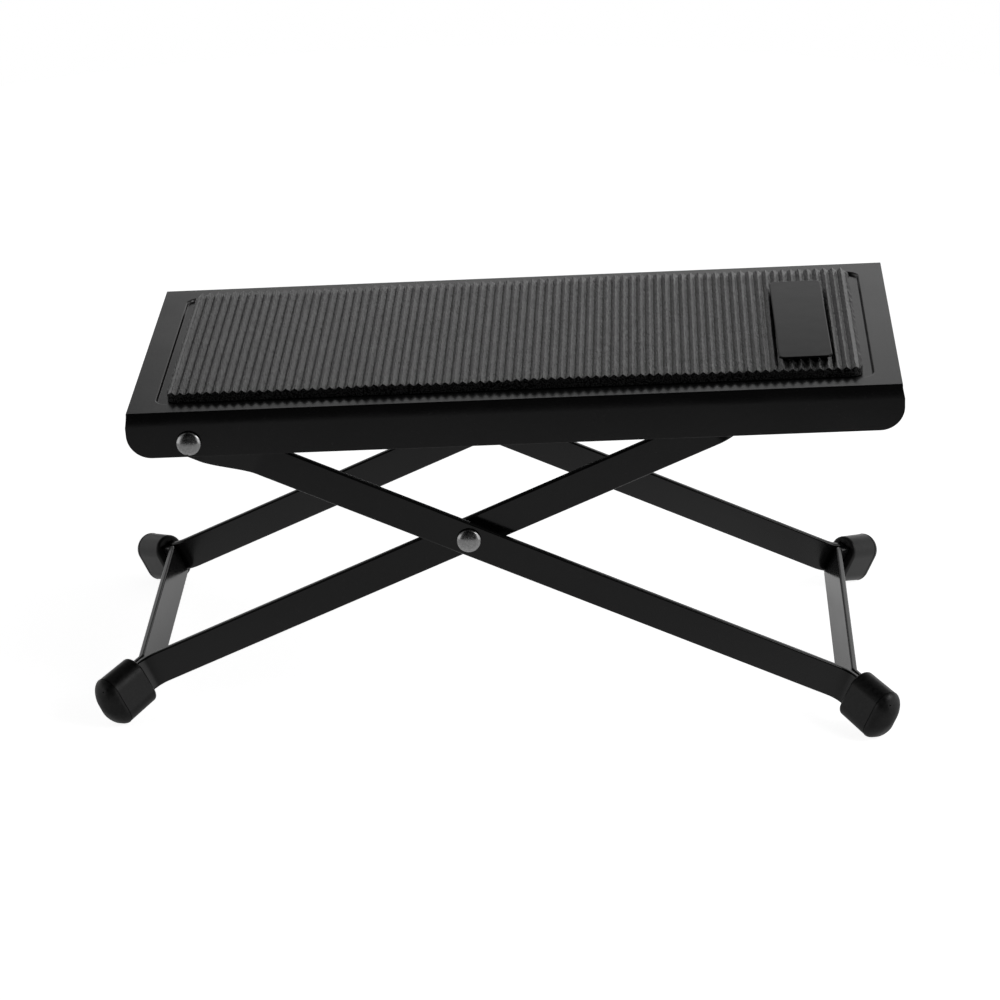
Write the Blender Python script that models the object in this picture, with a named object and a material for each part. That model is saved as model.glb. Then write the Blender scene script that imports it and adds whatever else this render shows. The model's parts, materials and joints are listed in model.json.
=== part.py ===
"""Guitar footrest, at its real size in metres with +Z up, standing on the plane z = 0.

A folded steel platform with a ribbed rubber mat stands on a scissor of two frames, each bent
from one flat bar and tipped with rubber caps. The platform's left end is riveted to the outer
frame. Its right end rests on a rod across the inner frame, which sits under two notched rails.
Run with: blender --background --python part.py
"""

import math
from collections import namedtuple

import bmesh
import bpy
from mathutils import Matrix, Vector

mm = 0.001
degree = math.pi / 180

# Clearances and how finely round shapes are divided
touch_gap = 0.3 * mm
cut_overrun = 1 * mm
same_place = 0.001 * mm
fine_step = 15 * degree
round_step = 18 * degree
drill_step = 24 * degree
flute_steps = 4
flange_corner_steps = 6
round_profile = 0.5
sharp_from = 35 * degree
ease_from = 50 * degree

# Platform: a folded sheet, with a shallow tray pressed into its top
platform_length = 280 * mm
platform_width = 128 * mm
sheet_thickness = 1.5 * mm
sheet_edge_ease = 0.25 * mm
flange_height = 17.5 * mm
flange_overhang = 0.7 * mm
flange_corner_radius = 9 * mm
fold_lead = 0.8 * mm
fold_fall = 5.5 * mm
tray_depth = 1 * mm
tray_end_margin = 3.8 * mm
tray_side_margin = 2.7 * mm
tray_corner_radius = 5 * mm
tray_lip_radius = 0.5 * mm
tray_wall_run = 0.4 * mm

# Rubber mat, glued in the tray with its ribs across the platform
rib_count = 78
rib_pitch = 3.223 * mm
rib_height = 1 * mm
rib_crest_width = 0.28 * mm
rib_flank_slope = 40 * degree
rib_shift = -0.35 * mm
mat_width = 104 * mm
mat_thickness = 3.65 * mm
mat_end_run = 2.4 * mm
mat_corner_radius = 4 * mm
mat_shift = -0.6 * mm
mat_lift = 0.65 * mm
mat_lift_shares = (0.3, 0.5, 0.25, 0.2, 0.85, 0.4, 0.5, 1, 1, 1, 0.45, 0.45, 0.2, 0.1)

# Bare badge plate, glued on the ribs a little askew
badge_length = 79 * mm
badge_width = 19.4 * mm
badge_thickness = 0.8 * mm
badge_corner_radius = 2.5 * mm
badge_edge_radius = 0.4 * mm
badge_inset_from_end = 34.1 * mm
badge_shift = -4.4 * mm
badge_turn = 0.7 * degree

# Flat bar of both leg frames
bar_width = 12.7 * mm
bar_thickness = 2.5 * mm
bar_edge_radius = 0.75 * mm
side_bend_radius = 8 * mm
cross_bend_radius = 1 * mm
joggle_bend_radius = 10 * mm
ear_splay = 47 * degree
ear_layer_gap = 0.4 * mm
end_turn_shares = (0.2, 0.4, 0.6, 0.78, 0.91)

# Outer leg frame, hinged to the platform at its top and to the inner frame where they cross
fold_pivot_inset = 22 * mm
fold_pivot_depth = 12 * mm
outer_lean = 25.52 * degree
outer_frame_half_width = 57.7 * mm
outer_top_arm = 108.8 * mm
outer_foot_arm = 154.1 * mm
outer_joggle_start = 26 * mm
outer_joggle_end = 7 * mm
pivot_drop = 1.5 * mm

# Inner leg frame, which carries the locking rod at its top
inner_top_arm = 117.6 * mm
inner_foot_arm = 136.4 * mm
inner_joggle = 5 * mm
inner_joggle_start = 17 * mm
inner_joggle_end = 8 * mm
rod_depth = 12 * mm
rod_radius = 3 * mm
rod_head_radius = 4.5 * mm
rod_head_height = 1.4 * mm

# Rivets and washers
shank_radius = 2.5 * mm
head_radius = 4.53 * mm
head_rim = 0.4 * mm
head_dome = 1.7 * mm
formed_head_radius = 4 * mm
formed_head_height = 1.5 * mm
head_edge_ease = 0.3 * mm
washer_radius = 5 * mm
washer_thickness = 1.2 * mm
spacer_thickness = 1.75 * mm

# Notched rails welded under the tray: the rod passes under their teeth and rests in a notch
notch_count = 5
notch_lean_step = 4 * degree
notch_radius = 3.7 * mm
notch_depth = 1.5 * mm
rod_sweep_clearance = 0.8 * mm
rail_thickness = 2 * mm
rail_foot_width = 8 * mm
rail_side_clearance = 1.2 * mm
rail_end_length = 5 * mm

# Rubber caps
cap_start = 2.2 * mm
cap_length = 20.5 * mm
cap_half_width = 6 * mm
cap_top = 9.5 * mm
cap_bottom = 9.6 * mm
cap_lower_radius = 5 * mm
cap_dome_length = 5.9 * mm
cap_end_wall = 2.5 * mm
cap_mouth_ease = 0.5 * mm
cap_flare_share = 0.04
dome_power_share = 1.73
dome_station_shares = (0, 0.3, 0.55, 0.75, 0.89, 0.97, 0.998)
floor_press = 0.35 * mm
settle_rounds = 6

# Sizes that follow from the ones above
bar_half = bar_width / 2
inner_frame_half_width = outer_frame_half_width - bar_thickness - spacer_thickness - 2 * touch_gap
flange_inside = platform_width / 2 - sheet_thickness
outer_joggle = flange_inside - touch_gap - outer_frame_half_width
fold_pivot_x = fold_pivot_inset - platform_length / 2
rib_span = (rib_count - 1) * rib_pitch
mat_length = rib_span + 2 * mat_end_run
mat_crest_height = mat_thickness - tray_depth + touch_gap
tray_half_length = mat_length / 2 + tray_end_margin
tray_half_width = mat_width / 2 + tray_side_margin
tray_underside = tray_depth + sheet_thickness
drill_radius = shank_radius + touch_gap

# Each leg frame's own sizes: a joggle past 0 steps outwards, and the drop lowers its top ends
FrameSizes = namedtuple(
    "FrameSizes", "half_width top_arm foot_arm joggle joggle_start joggle_end drop"
)
outer_sizes = FrameSizes(
    outer_frame_half_width,
    outer_top_arm,
    outer_foot_arm,
    outer_joggle,
    outer_joggle_start,
    outer_joggle_end,
    pivot_drop,
)
inner_sizes = FrameSizes(
    inner_frame_half_width,
    inner_top_arm,
    inner_foot_arm,
    -inner_joggle,
    inner_joggle_start,
    inner_joggle_end,
    0,
)


# Outlines

def arc(centre_u, centre_v, radius, start, end, step=fine_step):
    """Points of an arc from angle start to angle end, both included."""
    count = max(1, round(abs(end - start) / step))
    angles = [start + (end - start) * index / count for index in range(count + 1)]
    return [(centre_u + radius * math.cos(a), centre_v + radius * math.sin(a)) for a in angles]


def circle(radius, step=round_step):
    return arc(0, 0, radius, 0, 2 * math.pi, step)[:-1]


def rounded_rectangle(half_u, half_v, radius, step=fine_step):
    quarter = math.pi / 2
    u = half_u - radius
    v = half_v - radius
    points = arc(u, v, radius, 0, quarter, step)
    points += arc(-u, v, radius, quarter, 2 * quarter, step)
    points += arc(-u, -v, radius, 2 * quarter, 3 * quarter, step)
    points += arc(u, -v, radius, 3 * quarter, 4 * quarter, step)
    return points


def filleted(corners):
    """The path through corners, each (u, v, bend radius), with every bend drawn as an arc."""
    points = [Vector(corners[0][:2])]
    for before, corner, after in zip(corners, corners[1:], corners[2:]):
        here = Vector(corner[:2])
        radius = corner[2]
        back = (Vector(before[:2]) - here).normalized()
        ahead = (Vector(after[:2]) - here).normalized()
        half_opening = back.angle(ahead) / 2
        middle = here + (back + ahead).normalized() * radius / math.sin(half_opening)
        first = here + back * radius / math.tan(half_opening) - middle
        left_turn = back.y * ahead.x - back.x * ahead.y
        turn = math.copysign(math.pi - 2 * half_opening, left_turn)
        start = math.atan2(first.y, first.x)
        bend = [Vector(p) for p in arc(middle.x, middle.y, radius, start, start + turn)]
        touching = (bend[0] - points[-1]).length < same_place
        points += bend[1:] if touching else bend
    points.append(Vector(corners[-1][:2]))
    return points


# Meshes and objects

def skin(rings, closed=False):
    """A mesh stretched over rings of equal length, capped at both ends or closed in a loop."""
    mesh = bmesh.new()
    made = [[mesh.verts.new(point) for point in ring] for ring in rings]
    pairs = list(zip(made, made[1:]))
    if closed:
        pairs.append((made[-1], made[0]))
    else:
        mesh.faces.new(made[0])
        mesh.faces.new(made[-1])
    for ring, following in pairs:
        for index in range(len(ring)):
            quad = (ring[index - 1], ring[index], following[index], following[index - 1])
            mesh.faces.new(quad)
    bmesh.ops.recalc_face_normals(mesh, faces=mesh.faces)
    return mesh


def along_x(outline, low, high):
    return skin([[(x, u, v) for u, v in outline] for x in (low, high)])


def along_y(outline, low, high):
    return skin([[(u, y, v) for u, v in outline] for y in (low, high)])


def turned(stations, closed=False):
    """A body turned about Y from stations, each (place along Y, radius)."""
    rings = [[(u, y, v) for u, v in circle(radius)] for y, radius in stations]
    return skin(rings, closed)


def stacked(levels):
    """A body of rounded rectangles, each (z, half length, half width, corner radius)."""
    rings = []
    for z, half_u, half_v, radius in levels:
        rings.append([(u, v, z) for u, v in rounded_rectangle(half_u, half_v, radius)])
    return skin(rings)


def material(name, colour, roughness, metallic):
    made = bpy.data.materials.new(name)
    made.use_nodes = True
    shader = made.node_tree.nodes["Principled BSDF"]
    shader.inputs["Base Color"].default_value = (*colour, 1)
    shader.inputs["Roughness"].default_value = roughness
    shader.inputs["Metallic"].default_value = metallic
    return made


def place(name, mesh, parent, location=(0, 0, 0), turn=0):
    """An object made from the mesh, turned about its parent's Z."""
    data = bpy.data.meshes.new(name)
    mesh.to_mesh(data)
    mesh.free()
    data.shade_smooth()
    data.set_sharp_from_angle(angle=sharp_from)
    made = bpy.data.objects.new(name, data)
    bpy.context.collection.objects.link(made)
    made.parent = parent
    made.location = location
    made.rotation_euler.z = turn
    return made


def part(name, look, mesh, parent, location=(0, 0, 0), turn=0):
    """A visible piece with a material of its own."""
    made = place(name, mesh, parent, location, turn)
    made.data.materials.append(material(name, *look))
    return made


def combine(target, name, mesh, operation="DIFFERENCE", location=(0, 0, 0), turn=0):
    """Joins or cuts the target with a hidden helper that shares its parent."""
    helper = place(name, mesh, target.parent, location, turn)
    helper.hide_render = True
    helper.display_type = "WIRE"
    boolean = target.modifiers.new(name, "BOOLEAN")
    boolean.operation = operation
    boolean.object = helper
    return helper


def ease_edges(target, width):
    ease = target.modifiers.new("eased_edges", "BEVEL")
    ease.width = width
    ease.limit_method = "ANGLE"
    ease.angle_limit = ease_from


def drill(target, name, reach, location):
    """A round hole along Y, right through the target."""
    outline = circle(drill_radius, drill_step)
    return combine(target, name, along_y(outline, -reach, reach), location=location)


def empty(name, parent, location=(0, 0, 0), rotation=(0, 0, 0)):
    made = bpy.data.objects.new(name, None)
    bpy.context.collection.objects.link(made)
    made.parent = parent
    made.location = location
    made.rotation_euler = rotation
    return made


# Where the scissor stands at a given lean of the outer frame

def crossing_depth(lean):
    return fold_pivot_depth + outer_top_arm * math.sin(lean) - pivot_drop * math.cos(lean)


def inner_lean_at(lean):
    """The inner frame's lean that keeps the rod at its depth under the platform."""
    return math.asin((crossing_depth(lean) - rod_depth) / inner_top_arm)


def rod_x_at(lean):
    crossing_x = fold_pivot_x + outer_top_arm * math.cos(lean) + pivot_drop * math.sin(lean)
    return crossing_x + inner_top_arm * math.cos(inner_lean_at(lean))


# Platform

def fold(side):
    """A fold's outside: it turns sharply from the top and eases into the flange."""
    start_v = side * (platform_width / 2 - fold_lead)
    unit = arc(0, 0, 1, 0, math.pi / 2)
    return [(start_v + side * fold_lead * u, fold_fall * v - fold_fall) for u, v in unit]


def platform_shell(stand):
    half_width = platform_width / 2
    outline = [(half_width, -flange_height)]
    outline += fold(1) + fold(-1)[::-1]
    outline += [(-half_width, -flange_height), (-flange_inside, -flange_height)]
    outline += [(-flange_inside, -sheet_thickness), (flange_inside, -sheet_thickness)]
    outline += [(flange_inside, -flange_height)]
    mesh = along_x(outline, -platform_length / 2, platform_length / 2)
    reach_out_flanges(mesh)
    round_flange_corners(mesh)
    shell = part("platform_shell", painted_steel, mesh, stand)
    ease_edges(shell, sheet_edge_ease)
    press_tray(shell)
    drill(shell, "fold_pivot_drill", platform_width, (fold_pivot_x, 0, -fold_pivot_depth))


def reach_out_flanges(mesh):
    """Lets the flanges reach past the ends of the top, more and more down the fold."""
    for vertex in mesh.verts:
        past_sheet = -vertex.co.z - sheet_thickness
        folded = min(max(past_sheet / (fold_fall - sheet_thickness), 0), 1)
        vertex.co.x += math.copysign(flange_overhang * folded, vertex.co.x)


def round_flange_corners(mesh):
    """Rounds the four lower corners of the flanges."""
    low = cut_overrun - flange_height
    corners = []
    for edge in mesh.edges:
        one, other = edge.verts
        if one.co.x == other.co.x and max(one.co.z, other.co.z) < low:
            corners.append(edge)
    bmesh.ops.bevel(
        mesh,
        geom=corners,
        offset=flange_corner_radius,
        segments=flange_corner_steps,
        profile=round_profile,
        affect="EDGES",
    )


def press_tray(shell):
    """Lowers the tray floor: its underside is added first, and then the tray is cut."""
    wall = sheet_thickness
    inside = -sheet_thickness / 2

    def level(z, grow):
        radius = tray_corner_radius + grow
        return (z, tray_half_length + grow, tray_half_width + grow, radius)

    below = [level(inside, wall), level(-sheet_thickness, wall)]
    below.append(level(-tray_underside, wall - tray_wall_run))
    bulge = combine(shell, "tray_bulge", stacked(below), "UNION")
    recess = [level(cut_overrun, tray_lip_radius)]
    for run, rise in arc(0, 0, tray_lip_radius, math.pi / 2, 0, 2 * fine_step):
        recess.append(level(rise - tray_lip_radius, tray_lip_radius - run))
    recess.append(level(-tray_depth, -tray_wall_run))
    tray = combine(shell, "tray_recess", stacked(recess))
    for helper in (bulge, tray):
        helper.location.y = mat_shift


def lift_at(x):
    """How far the glued mat stands off its tray at x: it is a little wavy along its length."""
    place_along = (x / mat_length + 0.5) * (len(mat_lift_shares) - 1)
    index = min(max(math.floor(place_along), 0), len(mat_lift_shares) - 2)
    run = min(max(place_along - index, 0), 1)
    eased = run * run * (3 - 2 * run)
    start, end = mat_lift_shares[index:index + 2]
    return mat_lift * (start + (end - start) * eased)


def mat_outline():
    """The ribbed sheet's section: narrow crests, straight flanks and round flutes."""
    bottom = touch_gap - tray_depth
    slope = rib_flank_slope
    half_flute = (rib_pitch - rib_crest_width) / 2
    flank_fall = half_flute * math.sin(slope) - rib_height * math.cos(slope)
    flute_radius = flank_fall / (1 - math.cos(slope))
    centre_z = mat_crest_height - rib_height + flute_radius
    ends = (-math.pi / 2 - slope, -math.pi / 2 + slope)
    points = []
    for index in range(-2, rib_count + 1):
        centre_x = index * rib_pitch + rib_pitch / 2 - rib_span / 2 + rib_shift
        points.append((centre_x - half_flute, mat_crest_height))
        points += arc(centre_x, centre_z, flute_radius, *ends, 2 * slope / flute_steps)
        points.append((centre_x + half_flute, mat_crest_height))
    top = [(x, z + lift_at(x)) for x, z in points]
    return top + [(top[-1][0], bottom), (top[0][0], bottom)]


def rubber_mat(stand):
    """The mat, cut out of a ribbed sheet that is two ribs longer than it at each end."""
    half = mat_width / 2
    mesh = along_y(mat_outline(), -half, half)
    mat = part("rubber_mat", rubber, mesh, stand, (0, mat_shift, 0))
    plan = (mat_length / 2, half, mat_corner_radius)
    levels = [(-mat_thickness, *plan), (mat_thickness + mat_lift, *plan)]
    combine(mat, "mat_corner_trim", stacked(levels), "INTERSECT", (0, mat_shift, 0))


def badge_plate(stand):
    length = badge_length / 2
    width = badge_width / 2
    place_x = platform_length / 2 - badge_inset_from_end
    low = mat_crest_height + lift_at(place_x - width) + touch_gap
    eased = badge_corner_radius - badge_edge_radius
    levels = [
        (low, width, length, badge_corner_radius),
        (low + badge_thickness - badge_edge_radius, width, length, badge_corner_radius),
        (low + badge_thickness, width - badge_edge_radius, length - badge_edge_radius, eased),
    ]
    location = (place_x, badge_shift, 0)
    part("badge_plate", gloss_black, stacked(levels), stand, location, badge_turn)


def rail_outline():
    """A rail's web seen from the side, with a round notch above each stop of the rod."""
    roof = rod_radius - rod_depth + rod_sweep_clearance + notch_depth
    tooth_tip = roof - notch_depth
    centre_z = roof - notch_radius
    half_angle = math.acos((tooth_tip - centre_z) / notch_radius)
    stops = [rod_x_at(outer_lean + index * notch_lean_step) for index in range(notch_count)]
    top = -tray_underside - touch_gap
    left = min(stops) - rail_end_length
    right = max(stops) + rail_end_length
    points = [(right, top), (left, top), (left, tooth_tip)]
    for stop in sorted(stops):
        upright = math.pi / 2
        points += arc(stop, centre_z, notch_radius, upright + half_angle, upright - half_angle)
    points.append((right, tooth_tip))
    return points, left, right, top


def height_rails(stand):
    outline, left, right, top = rail_outline()
    web_outside = inner_frame_half_width - inner_joggle - bar_thickness - rail_side_clearance
    web_inside = web_outside - rail_thickness
    for side, name in ((-1, "front"), (1, "back")):
        low, high = sorted((side * web_inside, side * web_outside))
        rail = part(f"height_rail_{name}", painted_steel, along_y(outline, low, high), stand)
        foot_inside = web_inside - rail_foot_width
        near, far = sorted((side * foot_inside, side * (web_inside + rail_thickness / 2)))
        foot = [(near, top), (far, top), (far, top - rail_thickness), (near, top - rail_thickness)]
        combine(rail, f"rail_foot_{name}", along_x(foot, left, right), "UNION")


# Leg frames

def bar_section():
    """The bar's section with its rounded edges, as (across, upright) points."""
    return rounded_rectangle(bar_thickness / 2, bar_half, bar_edge_radius, 3 * fine_step)


def frame_half(sizes):
    """Corners of one half of a frame's centre line, from the cross bar to the top pivot."""
    half_bar = bar_thickness / 2
    offset = half_bar + ear_layer_gap / 2
    along = Vector((math.cos(ear_splay), math.sin(ear_splay)))
    aside = Vector((-along.y, along.x))
    corner = Vector((sizes.foot_arm, sizes.half_width))
    cross_at = (-half_bar - offset * along.y) / along.x
    side_at = (-half_bar - offset * along.x) / along.y
    cross_corner = corner + along * cross_at - aside * offset
    side_corner = corner + along * side_at + aside * offset
    tip = corner + along * (cap_start + cap_length - cap_end_wall - touch_gap - half_bar)
    side_v = sizes.half_width - half_bar
    return [
        (*cross_corner, cross_bend_radius + half_bar),
        (*(tip - aside * offset), offset),
        (*(tip + aside * offset), offset),
        (*side_corner, side_bend_radius + half_bar),
        (sizes.joggle_start - sizes.top_arm, side_v, joggle_bend_radius),
        (sizes.joggle_end - sizes.top_arm, side_v + sizes.joggle, joggle_bend_radius),
        (-sizes.top_arm, side_v + sizes.joggle, 0),
    ]


def path_directions(path):
    """The unit direction of travel at each point, and how far a mitre widens the bar there."""
    found = []
    for index, point in enumerate(path):
        before = path[max(index - 1, 0)]
        after = path[min(index + 1, len(path) - 1)]
        arriving = (point - before).normalized() if index else (after - point).normalized()
        leaving = (after - point).normalized() if after is not point else arriving
        middle = (arriving + leaving).normalized()
        found.append((middle, 1 / middle.dot(arriving)))
    return found


def bar_rings(path):
    """The bar's section set square across the path at each of its points."""
    rings = []
    for point, (direction, widen) in zip(path, path_directions(path)):
        across = Vector((-direction.y, direction.x)) * widen
        ring = [(*(point + across * a), upright) for a, upright in bar_section()]
        rings.append(ring)
    return rings


def rounded_end(ring):
    """Rings that carry the bar past its pivot and close its end round the pivot."""
    rings = []
    for share in end_turn_shares:
        shift = bar_half * math.sin(share * math.pi / 2)
        shrink = math.cos(share * math.pi / 2)
        rings.append([(x - shift, y, z * shrink) for x, y, z in ring])
    return rings


def leg_frame(name, parent, location, sizes):
    """A frame of one bent bar, its crossing at the origin and its feet towards +X."""
    half = frame_half(sizes)
    mirrored = [(u, -v, radius) for u, v, radius in reversed(half)]
    path = filleted(mirrored + half)
    rings = bar_rings(path)
    rings = rounded_end(rings[0])[::-1] + rings + rounded_end(rings[-1])
    lowered = []
    for ring in rings:
        past_start = sizes.joggle_start - sizes.top_arm - ring[0][0]
        run = past_start / (sizes.joggle_start - sizes.joggle_end)
        fall = sizes.drop * min(max(run, 0), 1)
        lowered.append([(x, y, z - fall) for x, y, z in ring])
    return part(name, painted_steel, skin(lowered), parent, location)


def outer_leg(pose):
    crossing = (outer_top_arm, 0, pivot_drop)
    frame = leg_frame("outer_leg_frame", pose, crossing, outer_sizes)
    drill(frame, "outer_scissor_drill", platform_width, crossing)
    drill(frame, "outer_pivot_drill", platform_width, (0, 0, 0))


def inner_leg(pose):
    frame = leg_frame("inner_leg_frame", pose, (0, 0, 0), inner_sizes)
    drill(frame, "inner_scissor_drill", platform_width, (0, 0, 0))
    rod_hole = circle(rod_radius + touch_gap, drill_step)
    cutter = along_y(rod_hole, -platform_width, platform_width)
    combine(frame, "rod_drill", cutter, location=(-inner_top_arm, 0, 0))


def locking_rod(pose):
    shoulder = inner_frame_half_width - inner_joggle + touch_gap
    end = shoulder + rod_head_height
    rim = rod_head_radius - head_edge_ease
    half = [(shoulder, rod_radius), (shoulder, rod_head_radius)]
    half += [(end - head_edge_ease, rod_head_radius), (end, rim)]
    stations = [(-y, radius) for y, radius in reversed(half)] + half
    part("locking_rod", bare_steel, turned(stations), pose, (-inner_top_arm, 0, 0))


# Rivets and washers

def rivet_stations(outer_seat, inner_seat):
    """A rivet's stations along Y, from its formed head inside to its domed head outside."""
    inner_end = inner_seat - formed_head_height
    stations = [
        (inner_end, formed_head_radius - head_edge_ease),
        (inner_end + head_edge_ease, formed_head_radius),
        (inner_seat, formed_head_radius),
        (inner_seat, shank_radius),
        (outer_seat, shank_radius),
        (outer_seat, head_radius),
    ]
    for across, rise in arc(0, 0, 1, 0, math.pi / 2, fine_step)[:-1]:
        stations.append((outer_seat + head_rim + head_dome * rise, head_radius * across))
    return stations


def washer_stations(low, high):
    return [(low, drill_radius), (low, washer_radius), (high, washer_radius), (high, drill_radius)]


def both_sides(name, look, stations, parent, location, closed=False):
    """A piece on the front and on the back side, its +Y outward on both."""
    for side, turn in (("front", math.pi), ("back", 0)):
        part(f"{name}_{side}", look, turned(stations, closed), parent, location, turn)


def platform_rivets(pivot):
    outer_seat = platform_width / 2 + touch_gap
    washer_high = flange_inside - 2 * touch_gap - bar_thickness
    washer_low = washer_high - washer_thickness
    rivet = rivet_stations(outer_seat, washer_low - touch_gap)
    both_sides("platform_rivet", bare_steel, rivet, pivot, (0, 0, 0))
    washer = washer_stations(washer_low, washer_high)
    both_sides("platform_washer", bare_steel, washer, pivot, (0, 0, 0), closed=True)


def scissor_rivets(pose):
    crossing = (outer_top_arm, 0, pivot_drop)
    spacer_low = inner_frame_half_width + touch_gap
    backing_high = inner_frame_half_width - bar_thickness - touch_gap
    backing_low = backing_high - washer_thickness
    rivet = rivet_stations(outer_frame_half_width + touch_gap, backing_low - touch_gap)
    both_sides("scissor_rivet", bare_steel, rivet, pose, crossing)
    spacer = washer_stations(spacer_low, spacer_low + spacer_thickness)
    both_sides("scissor_washer", bare_steel, spacer, pose, crossing, closed=True)
    backing = washer_stations(backing_low, backing_high)
    both_sides("backing_washer", bare_steel, backing, pose, crossing, closed=True)


# Rubber caps

def cap_section(scale):
    """The cap's arch section as (across, upright) points, scaled about its middle."""
    radius = cap_half_width
    lower = cap_lower_radius
    quarter = math.pi / 2
    points = arc(0, cap_top - radius, radius, 0, 2 * quarter)
    points += arc(lower - radius, lower - cap_bottom, lower, 2 * quarter, 3 * quarter)
    points += arc(radius - lower, lower - cap_bottom, lower, 3 * quarter, 4 * quarter)
    middle = (cap_top - cap_bottom) / 2
    return [(across * scale, middle + (upright - middle) * scale) for across, upright in points]


def cap_mesh():
    """A cap with its mouth at x = 0 and its domed end towards +X."""
    dome_start = cap_length - cap_dome_length
    mouth_scale = 1 - cap_mouth_ease / cap_half_width
    stations = [(0, mouth_scale), (cap_mouth_ease, 1)]
    for share in dome_station_shares:
        power = dome_power_share
        closing = (1 - share**power) ** (1 / power)
        stations.append((dome_start + share * cap_dome_length, closing))
    rings = []
    for x, scale in stations:
        flare = 1 + cap_flare_share * x / cap_length
        rings.append([(x, across, up) for across, up in cap_section(scale * flare)])
    return skin(rings)


def slot_mesh():
    """The pocket for the bar's two layers."""
    across = bar_thickness + ear_layer_gap / 2 + touch_gap
    upright = bar_half + touch_gap
    outline = [(across, upright), (-across, upright), (-across, -upright), (across, -upright)]
    return along_x(outline, -cut_overrun, cap_length - cap_end_wall)


def foot_caps(pose, prefix, half_width, foot_arm, crossing, front_side):
    """The two caps of a frame. front_side is the frame's own Y direction to the front."""
    made = []
    for side, name in ((front_side, "front"), (-front_side, "back")):
        reach_x = foot_arm + cap_start * math.cos(ear_splay)
        reach_y = half_width + cap_start * math.sin(ear_splay)
        mouth = Vector(crossing) + Vector((reach_x, side * reach_y, 0))
        turn = side * ear_splay
        cap = part(f"foot_cap_{prefix}_{name}", rubber, cap_mesh(), pose, mouth, turn)
        combine(cap, f"cap_slot_{prefix}_{name}", slot_mesh(), location=mouth, turn=turn)
        made.append(cap)
    return made


# Standing on the floor

def world_points(piece):
    return [piece.matrix_world @ vertex.co for vertex in piece.data.vertices]


def rest_tilt(left_caps, right_caps):
    """The turn about Y at which the left and the right caps reach equally low."""
    left = [point for cap in left_caps for point in world_points(cap)]
    right = [point for cap in right_caps for point in world_points(cap)]
    tilt = 0
    for _ in range(settle_rounds):
        turned_by = Matrix.Rotation(tilt, 3, "Y")
        low_left = min(left, key=lambda point: (turned_by @ point).z)
        low_right = min(right, key=lambda point: (turned_by @ point).z)
        across = low_right - low_left
        tilt = math.atan2(across.z, across.x)
    return tilt


def flatten_on_floor(cap, floor):
    """Cuts the cap level where its rubber is pressed flat on the floor."""
    to_cap = cap.matrix_world.inverted()
    mesh = bmesh.new()
    mesh.from_mesh(cap.data)
    geometry = mesh.verts[:] + mesh.edges[:] + mesh.faces[:]
    place_on = to_cap @ Vector((0, 0, floor))
    normal = to_cap.to_3x3() @ Vector((0, 0, -1))
    cut = bmesh.ops.bisect_plane(
        mesh, geom=geometry, plane_co=place_on, plane_no=normal, clear_outer=True
    )
    rim = [item for item in cut["geom_cut"] if isinstance(item, bmesh.types.BMEdge)]
    bmesh.ops.edgeloop_fill(mesh, edges=rim)
    bmesh.ops.recalc_face_normals(mesh, faces=mesh.faces)
    mesh.to_mesh(cap.data)
    mesh.free()


def stand_on_floor(stand, left_caps, right_caps):
    """Tilts the footrest to its rest, flattens the caps and centres it over the origin."""
    bpy.context.view_layer.update()
    stand.rotation_euler.y = rest_tilt(left_caps, right_caps)
    bpy.context.view_layer.update()
    caps = left_caps + right_caps
    floor = min(point.z for cap in caps for point in world_points(cap)) + floor_press
    for cap in caps:
        flatten_on_floor(cap, floor)
    pieces = [o for o in bpy.data.objects if o.type == "MESH" and not o.hide_render]
    reach = [point.x for piece in pieces for point in world_points(piece)]
    stand.location = (-(min(reach) + max(reach)) / 2, 0, -floor)
    bpy.context.view_layer.update()


painted_steel = ((0.018, 0.018, 0.019), 0.34, 0)
rubber = ((0.032, 0.032, 0.033), 0.72, 0)
gloss_black = ((0.02, 0.02, 0.021), 0.16, 0)
bare_steel = ((0.42, 0.42, 0.43), 0.38, 1)


def main():
    for old in list(bpy.data.objects):
        bpy.data.objects.remove(old)
    stand = empty("stand", None)
    pivot = empty("fold_pivot", stand, (fold_pivot_x, 0, -fold_pivot_depth))
    outer_pose = empty("outer_leg_pose", pivot, rotation=(0, outer_lean, 0))
    opening = outer_lean + inner_lean_at(outer_lean)
    crossing = (outer_top_arm, 0, pivot_drop)
    inner_pose = empty("inner_leg_pose", outer_pose, crossing, (0, opening, math.pi))
    platform_shell(stand)
    rubber_mat(stand)
    badge_plate(stand)
    height_rails(stand)
    platform_rivets(pivot)
    outer_leg(outer_pose)
    scissor_rivets(outer_pose)
    inner_leg(inner_pose)
    locking_rod(inner_pose)
    right_caps = foot_caps(
        outer_pose, "right", outer_frame_half_width, outer_foot_arm, crossing, -1
    )
    left_caps = foot_caps(
        inner_pose, "left", inner_frame_half_width, inner_foot_arm, (0, 0, 0), 1
    )
    stand_on_floor(stand, left_caps, right_caps)
    for frame in (stand, pivot, inner_pose):
        print(frame.name, [round(value, 5) for value in frame.matrix_world.translation])


main()
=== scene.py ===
"""Guitar footrest: the finish of every surface, a plain studio and the photograph's camera."""

import json
import math
from collections import namedtuple

import bmesh
import bpy
from mathutils import Matrix, Vector, noise


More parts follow.
